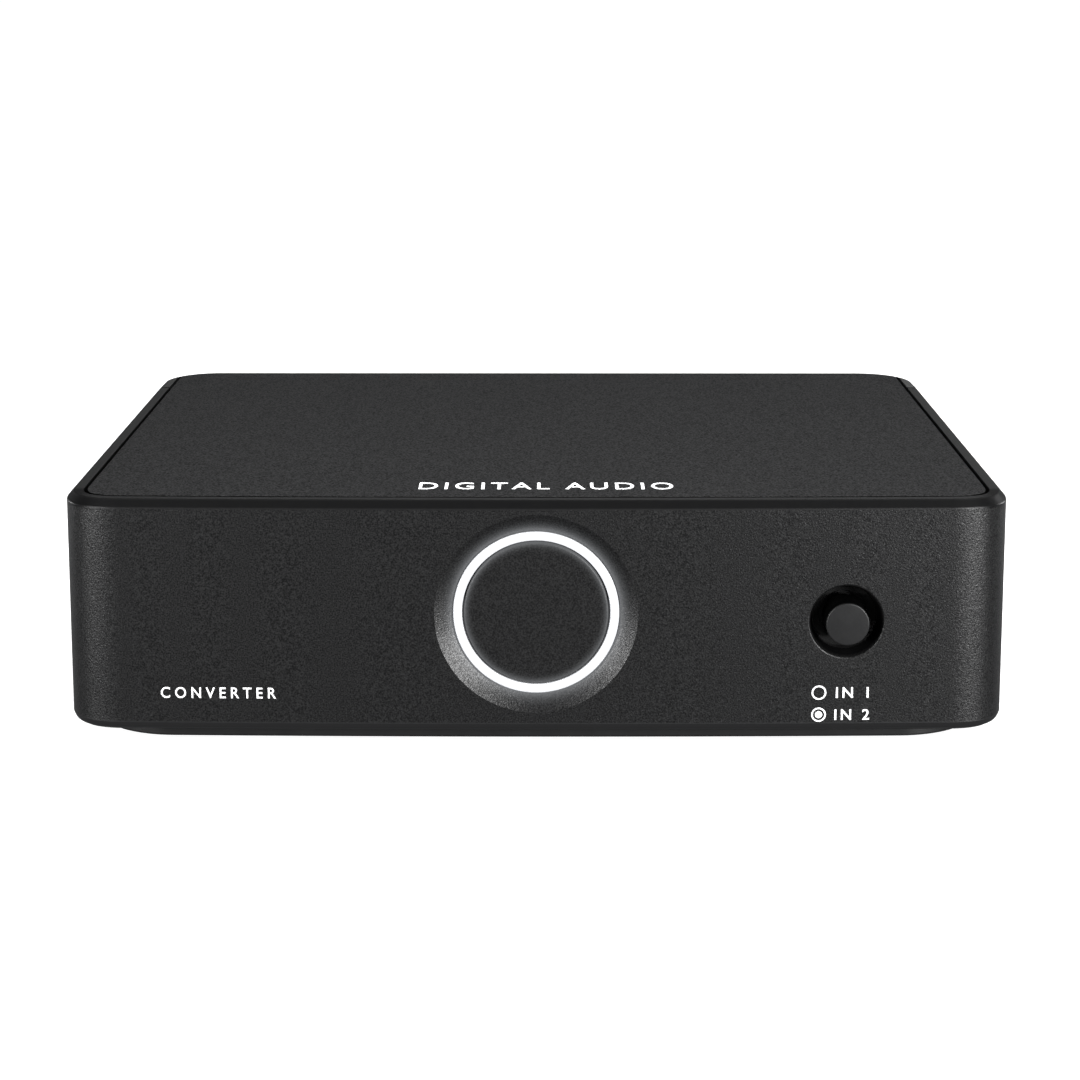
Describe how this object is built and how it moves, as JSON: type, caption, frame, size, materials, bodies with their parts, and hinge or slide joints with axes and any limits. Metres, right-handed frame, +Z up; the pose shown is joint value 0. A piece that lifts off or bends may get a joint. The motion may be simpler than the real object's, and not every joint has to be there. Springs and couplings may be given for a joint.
{
  "type": "desktop digital-to-analogue converter",
  "caption": "Low desktop audio converter with a lit ring and a source push button in front, and phono, optical, data and power sockets on the rear.",
  "frame": {"origin": "on the desk under the middle of the whole object's box, from the button's face to the phono barrels' ends", "axes": "+X to the right seen from the front, +Y from the front face to the sockets, +Z up"},
  "size_m": [0.145, 0.1202, 0.0399],
  "materials": {
    "shell": "coarse moulded grain, black",
    "lid": "fine moulded grain, black",
    "base": "smooth satin black",
    "rubber": "matt black",
    "steel": "zinc plated",
    "diffuser": "milky diffuser, lit white",
    "button": "smooth satin black",
    "board": "green solder mask over glass-fibre board",
    "led": "pale yellow encapsulant",
    "moulding": "satin black",
    "nickel": "nickel plated",
    "gold": "gold plated",
    "white": "satin white",
    "red": "satin red",
    "chip": "black moulded epoxy",
    "can": "satin aluminium can"
  },
  "bodies": {
    "enclosure": {"front_shell": "shell", "rear_cap": "shell", "top_cover": "lid", "base_plate": "base", "light_ring": "diffuser", "ring_cap": "moulding", "board_header": "moulding", "button_guide": "moulding", "switch_body": "moulding", "switch_spring": "steel", "front_board": "board", "main_board": "board", "phono_block": "moulding", "phono_barrel_left": "nickel", "phono_barrel_right": "nickel", "phono_core_left": "white", "phono_core_right": "red", "phono_contact_left": "gold", "phono_contact_right": "gold", "optical_housing": "moulding", "optical_receiver": "chip", "shutter_pin": "steel", "shutter_spring": "steel", "data_socket_shell": "steel", "data_socket_tongue": "moulding", "power_socket": "moulding", "power_pin": "nickel", "converter_chip": "chip", "data_bridge_chip": "chip", "clock_oscillator_1": "can", "clock_oscillator_2": "can", "output_amplifier_1": "chip", "output_amplifier_2": "chip", "mute_relay": "moulding", "regulator": "chip", "inductor": "chip", "foot_1": "rubber", "case_screw_1": "steel", "capacitor_1": "can", "foot_2": "rubber", "case_screw_2": "steel", "capacitor_2": "can", "foot_3": "rubber", "case_screw_3": "steel", "capacitor_3": "can", "foot_4": "rubber", "case_screw_4": "steel", "capacitor_4": "can", "board_screw_1": "steel", "board_screw_2": "steel", "led_1": "led", "led_2": "led", "led_3": "led", "led_4": "led", "led_5": "led", "led_6": "led"},
    "button": {"input_button": "button", "switch_plunger": "white"},
    "shutter": {"optical_shutter": "moulding"}
  },
  "joints": [
    {"name": "button_press", "type": "slide", "parent": "enclosure", "child": "button", "axis": [0, 1, 0], "range_m": [0, 0.0018], "stiffness_N_per_m": 250, "springref_m": -0.004, "deforming": ["switch_spring"]},
    {"name": "shutter_swing", "type": "hinge", "parent": "enclosure", "child": "shutter", "pos_m": [0.004, 0.0496, 0.0196], "axis": [-1, 0, 0], "range_deg": [0, 80], "stiffness_Nm_per_rad": 0.0005, "springref_deg": -28.65, "deforming": ["shutter_spring"]}
  ]
}
